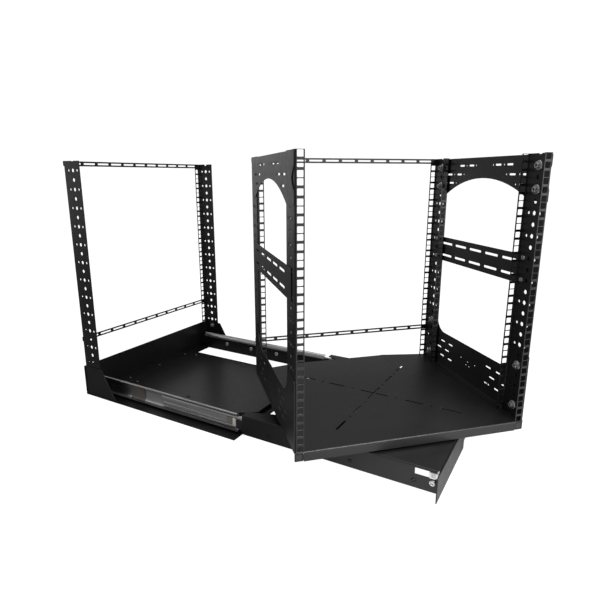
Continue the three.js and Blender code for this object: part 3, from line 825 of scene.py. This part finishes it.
def make_slide_stop(side, place, body, end):
    """White stop at the end of the inner member, with a tan tail, and a black strip over the
    member's end that is painted shade.
    """
    stop = block((8.2, end + 0.2, -9.4), (11.9, end + 12, 9.4), 0.8)
    piece(f"slide_stop_{side}", stop, place, body, WHITE_PLASTIC)
    tail = block((8.4, end - 6, -9), (9.2, end + 30, 9), 0.35)
    piece(f"slide_stop_tail_{side}", tail, place, body, PALE_TAN)
    # Thin black plastic strip on the outside of the inner member's end: painted shade where the
    # slide's end lies in shadow.
    shade_strip = block((12.7, end - 16.4, -11.2), (13.4, end + 1, 11.2), 0.25)
    piece(f"slide_end_painted_shade_{side}", shade_strip, place, body, PLASTIC)


make_slides()


# ---- carriage ------------------------------------------------------------------------

def make_tray():
    """Inverted tray with a notch at its rear, a slot in each folded side and a front lip. Its
    flat pattern has y to the front."""
    low, high = node_box("carriage_tray")
    rear, front = -high.y, -low.y
    notch_wide, notch_narrow, notch_deep = 205, 180, 73.5
    lip_deep = 11.3
    fold = high.x - BEND
    half = fold + QUARTER + (high.z - low.z - BEND)
    lip_half = fold - 3
    lip = front - BEND + QUARTER + (lip_deep - BEND)
    outline = [
        (-half, rear), (-notch_wide, rear), (-notch_narrow, rear + notch_deep),
        (notch_narrow, rear + notch_deep), (notch_wide, rear), (half, rear), (half, front),
        (fold, front), (fold - 1, front - BEND), (lip_half, front - BEND), (lip_half, lip),
        (-lip_half, lip), (-lip_half, front - BEND), (1 - fold, front - BEND), (-fold, front),
        (-half, front),
    ]
    pivot_y, lock_y, slot_y = 465.1, 617.6, 665.75
    slot_drop, slot_wide, slot_long = 11.3, 13, 40.5
    holes = [circle(0, pivot_y, 8.4), circle(0, lock_y, 4.5)]
    for side in (-1, 1):
        slot_middle = side * (fold + QUARTER + slot_drop - BEND)
        holes.append(rounded(slot_middle, slot_y, slot_wide, slot_long, 1.2, 2))
    bm = sheet(outline, holes, SHEET)
    for side in (-1, 1):
        bend(bm, axes_at((side * fold, 0, 0), (side, 0, 0), (0, 0, 1)))
    bend(bm, axes_at((0, front - BEND, 0), (0, 1, 0), (0, 0, 1)), lip_half)
    place = axes_at((0, 0, high.z), (1, 0, 0), (0, 0, -1))
    piece("carriage_tray_pressing", bm, place, "carriage", BLACK, ["carriage_tray"])
    screws_y, screws_z = (-260.7, -319.5, -514.5, -643.3), 20
    for side, mirror in SIDES:
        heads = []
        for y in screws_y:
            head_place = axes_at((high.x, y, screws_z), (0, 1, 0), (1, 0, 0))
            heads.append((socket_screw(4.6, 2.2, 1.8), head_place))
        piece(f"tray_screws_{side}", merged(heads), mirror, "carriage", BLACK)


def make_front_panel():
    """Panel across the tray, with a notch for the release lever."""
    low, high = node_box("carriage_front_panel")
    notch_half, notch_top, notch_round, corner = 27, 38, 4, 2
    notch_x, notch_z = notch_half - notch_round, notch_top - notch_round
    outline = [(-high.x, low.z), (-notch_half, low.z),
               *arc(-notch_x, notch_z, notch_round, 180, 90, 4),
               *arc(notch_x, notch_z, notch_round, 90, 0, 4), (notch_half, low.z),
               (high.x, low.z), *arc(high.x - corner, high.z - corner, corner, 0, 90, 3),
               *arc(corner - high.x, high.z - corner, corner, 90, 180, 3)]
    hole_x, hole_z, hole_radius = 130, 12.4, 2.4
    holes = [circle(side * hole_x, hole_z, hole_radius, 16) for side in (-1, 1)]
    bm = sheet(outline, holes, SHEET, 0.35)
    place = axes_at((0, low.y, 0), (-1, 0, 0), (0, 1, 0))
    piece("carriage_front_panel_pressing", bm, place, "carriage", SATIN,
          ["carriage_front_panel"])


def make_latches():
    """Latch of each slide: plate, blade behind the front panel and thumb tab."""
    low, high = node_box("slide_latch_right")
    face = node_box("carriage_tray")[1].x + 0.3
    for side, mirror in SIDES:
        name = f"slide_latch_{side}"
        plate = block((low.x, low.y + 5.6, low.z + 1), (face + 2, high.y, high.z - 8), 0.8)
        blade = block((face, low.y, high.z - 17), (face + 2, high.y - 3, high.z - 8), 0.5)
        tab = block((face, low.y, high.z - 21), (high.x, low.y + 2.4, high.z), 0.9)
        formed = merged([(plate, WORLD), (blade, WORLD), (tab, WORLD)])
        piece(f"{name}_formed", formed, mirror, name, ZINC_SMALL, [name])


def make_panel_screws():
    low, high = node_box("panel_screw_right")
    for side, mirror in SIDES:
        head = socket_screw((high.y - low.y) / 2, high.x - low.x, 2.9)
        place = mirror @ axes_at((low.x, (low.y + high.y) / 2, (low.z + high.z) / 2), (0, 1, 0),
                                 (1, 0, 0))
        name = f"panel_screw_{side}"
        piece(f"{name}_turned", head, place, "carriage", ZINC_SMALL, [name])


def make_turntable():
    """Dished lower race, and upper race with a hub that fills its bore."""
    low, high = node_box("turntable_lower_race")
    centre = Matrix.Translation(((low.x + high.x) / 2, (low.y + high.y) / 2, 0))
    outer = high.x
    inner = outer - 30
    bore, hub, web_thick = 8.4, 15, 4
    web = low.z + web_thick
    lower = [(bore, low.z), (outer - 1, low.z), (outer, low.z + 1), (outer, high.z - 0.6),
             (outer - 0.6, high.z), (inner + 0.6, high.z), (inner, high.z - 0.6), (inner, web),
             (bore, web), (bore, low.z)]
    piece("turntable_lower_race_pressing", turning(lower, 96), centre, "carriage", ZINC,
          ["turntable_lower_race"])
    low, high = node_box("turntable_upper_race")
    web = high.z - web_thick
    ring = high.z - 7.4
    upper = [(0, high.z), (0, high.z - 1.5), (bore, high.z - 1.5), (bore, low.z), (hub, low.z),
             (hub, web), (inner, web), (inner, ring + 0.6), (inner + 0.6, ring),
             (outer - 0.6, ring), (outer, ring + 0.6), (outer, high.z - 1), (outer - 1, high.z),
             (0, high.z)]
    piece("turntable_upper_race_pressing", turning(upper, 96), centre, "frame", DARK_STEEL,
          ["turntable_upper_race"])


make_tray()
make_front_panel()
make_latches()
make_panel_screws()
make_turntable()


# ---- pieces that keep the shape of their CAD node ------------------------------------

def make_refined():
    """Same shape as the node, with broken edges."""
    simple = [("base_floor_plate", "base", BLACK, COAT, 0.3),
              ("base_front_tie", "base", BLACK, COAT, 0.3),
              ("turntable_ball_cage", "turntable_ball_cage", ZINC_SMALL, STEEL, 0.3),
              ("pivot_bolt", "carriage", ZINC_SMALL, STEEL, 0.5),
              ("pivot_nut", "carriage", ZINC_SMALL, STEEL, 0.5),
              ("release_lever", "release_lever", RED, "red_plastic", 0.6),
              ("lever_bracket", "carriage", ZINC_SMALL, STEEL, 0.3),
              ("lever_pin", "carriage", ZINC_SMALL, STEEL, 0.4),
              ("lock_pin", "lock_pin", ZINC_SMALL, STEEL, 0.5),
              ("lock_pin_bush", "carriage", ZINC_SMALL, STEEL, 0.4),
              ("index_plate", "frame", DARK_STEEL, STEEL, 0.25)]
    for side in ("left", "right"):
        simple.append((f"corner_bracket_{side}", "base", BLACK, COAT, 0.3))
    for node, body, material, slot_name, edge in simple:
        piece(f"{node}_finished", refined(node, edge), WORLD, body, material, [node])


make_refined()


# ---- floor, light and camera ---------------------------------------------------------

def make_camera():
    """The photograph's viewpoint, in metres: tilted down, and turned from +y towards +x."""
    turn, tilt = math.radians(-60.17), math.radians(14.01)
    back = Vector((math.sin(turn) * math.cos(tilt), -math.cos(turn) * math.cos(tilt),
                   math.sin(tilt)))
    right = Vector((math.cos(turn), math.sin(turn), 0))
    camera = bpy.data.objects.new("camera", bpy.data.cameras.new("camera"))
    camera.data.lens = 29.95
    camera.data.sensor_width = 36
    camera.data.clip_start = 0.01
    camera.matrix_world = axes_at((-1.0380, -0.8683, 0.5696), right, back)
    bpy.context.scene.collection.objects.link(camera)
    bpy.context.scene.camera = camera


def seen_and_cast(tree, seen, cast, strength):
    """Gives the strength socket one value for the camera and another to light the object with.
    The second is a number or the output of a node."""
    path = tree.nodes.new("ShaderNodeLightPath")
    chosen = tree.nodes.new("ShaderNodeMapRange")
    if isinstance(cast, float):
        chosen.inputs["To Min"].default_value = cast
    else:
        tree.links.new(cast, chosen.inputs["To Min"])
    chosen.inputs["To Max"].default_value = seen
    tree.links.new(path.outputs["Is Camera Ray"], chosen.inputs["Value"])
    tree.links.new(chosen.outputs["Result"], strength)


def light_pool(material, centre, radius):
    """Floor brightness that falls off from a pool of light in front of the rack."""
    tree = material.node_tree
    place = tree.nodes.new("ShaderNodeTexCoord")
    mapping = tree.nodes.new("ShaderNodeMapping")
    mapping.vector_type = "TEXTURE"
    mapping.inputs["Location"].default_value = (*centre, 0)
    mapping.inputs["Scale"].default_value = (radius, radius, radius)
    gradient = tree.nodes.new("ShaderNodeTexGradient")
    gradient.gradient_type = "SPHERICAL"
    tree.links.new(place.outputs["Object"], mapping.inputs["Vector"])
    tree.links.new(mapping.outputs["Vector"], gradient.inputs["Vector"])
    return spread(material, gradient.outputs["Fac"], 0.07, 1.7)


def make_floor():
    bm = bmesh.new()
    bmesh.ops.create_grid(bm, x_segments=1, y_segments=1, size=30)
    mesh = bpy.data.meshes.new("floor")
    bm.to_mesh(mesh)
    bm.free()
    floor = bpy.data.objects.new("floor", mesh)
    floor.location.z = -0.0006
    material, shader = new_material("floor", 0.0, 0.9)
    shader.inputs["Base Color"].default_value = (0.16, 0.16, 0.16, 1)
    shader.inputs["Emission Color"].default_value = (1, 1, 1, 1)
    shader.inputs["Specular IOR Level"].default_value = 0.0
    pool = light_pool(material, (-0.4, -1.05), 0.8)
    seen_and_cast(material.node_tree, 1.0, pool, shader.inputs["Emission Strength"])
    mesh.materials.append(material)
    bpy.context.scene.collection.objects.link(floor)


def make_lights():
    world = bpy.data.worlds.new("studio")
    bpy.context.scene.world = world
    world.use_nodes = True
    background = world.node_tree.nodes["Background"]
    background.inputs["Color"].default_value = (1, 1, 1, 1)
    seen_and_cast(world.node_tree, 1.05, 0.28, background.inputs["Strength"])
    for name, place, aim, size, power, spread_angle in (
        ("front", (-0.8, -3.6, 0.9), (0, -0.3, 0.3), 2.6, 80, 180),
        ("front_floor", (-0.6, -1.3, 0.95), (-0.5, -1.0, 0), 0.9, 9, 80),
        ("right", (3.4, -1.1, 0.8), (0, -0.4, 0.2), 1.8, 9, 180),
        ("back", (-1.9, 3.0, 1.0), (0, 0, 0.3), 1.8, 7, 180),
        ("back_right", (1.9, 2.6, 0.5), (0, -0.3, 0.3), 1.8, 6, 180),
        ("top", (0.3, 0.2, 3.2), (0, -0.3, 0), 2.0, 20, 180),
    ):
        light = bpy.data.lights.new(name, "AREA")
        light.spread = math.radians(spread_angle)
        light.size = size
        light.energy = power
        holder = bpy.data.objects.new(name, light)
        holder.location = place
        holder.visible_camera = False
        holder.rotation_euler = (Vector(aim) - Vector(place)).to_track_quat("-Z", "Y").to_euler()
        bpy.context.scene.collection.objects.link(holder)


make_floor()
make_lights()
make_camera()
bpy.context.scene.view_settings.view_transform = "Standard"
